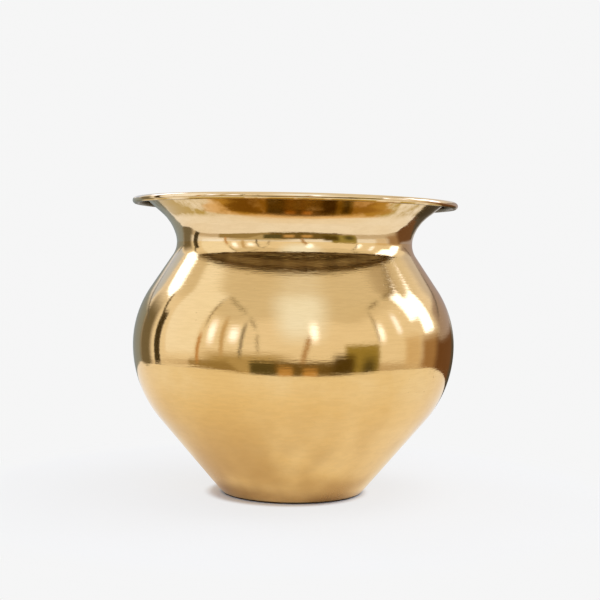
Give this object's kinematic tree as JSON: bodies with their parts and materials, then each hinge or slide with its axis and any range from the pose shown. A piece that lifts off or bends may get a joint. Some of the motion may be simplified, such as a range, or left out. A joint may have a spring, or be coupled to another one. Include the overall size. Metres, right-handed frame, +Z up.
{
  "type": "brass lota",
  "caption": "Round-bellied brass water pot with a flat base, narrow neck and wide flared mouth with a rolled rim, for carrying and pouring water.",
  "frame": {"origin": "centre of the flat underside, on the surface that the pot stands on", "axes": "+Z up along the pot's axis of revolution; -Y faces the viewer of the picture; X to the viewer's right"},
  "size_m": [0.1706, 0.1706, 0.1537],
  "materials": {
    "base_brass": "satin, turned, with faint wear at the corner",
    "bowl_brass": "satin polished with fine lathe lines",
    "body_brass": "bright polished with fine lathe lines",
    "neck_brass": "bright polished",
    "wire_brass": "drawn wire, unpolished",
    "braze": "as-flowed brazing alloy, pale and dull"
  },
  "bodies": {
    "root": {"base_disc": "base_brass", "lower_bowl": "bowl_brass", "upper_body": "body_brass", "neck_flare": "neck_brass", "rim_wire": "wire_brass", "base_braze_ring": "braze", "belly_braze_ring": "braze", "neck_braze_ring": "braze"}
  },
  "joints": []
}
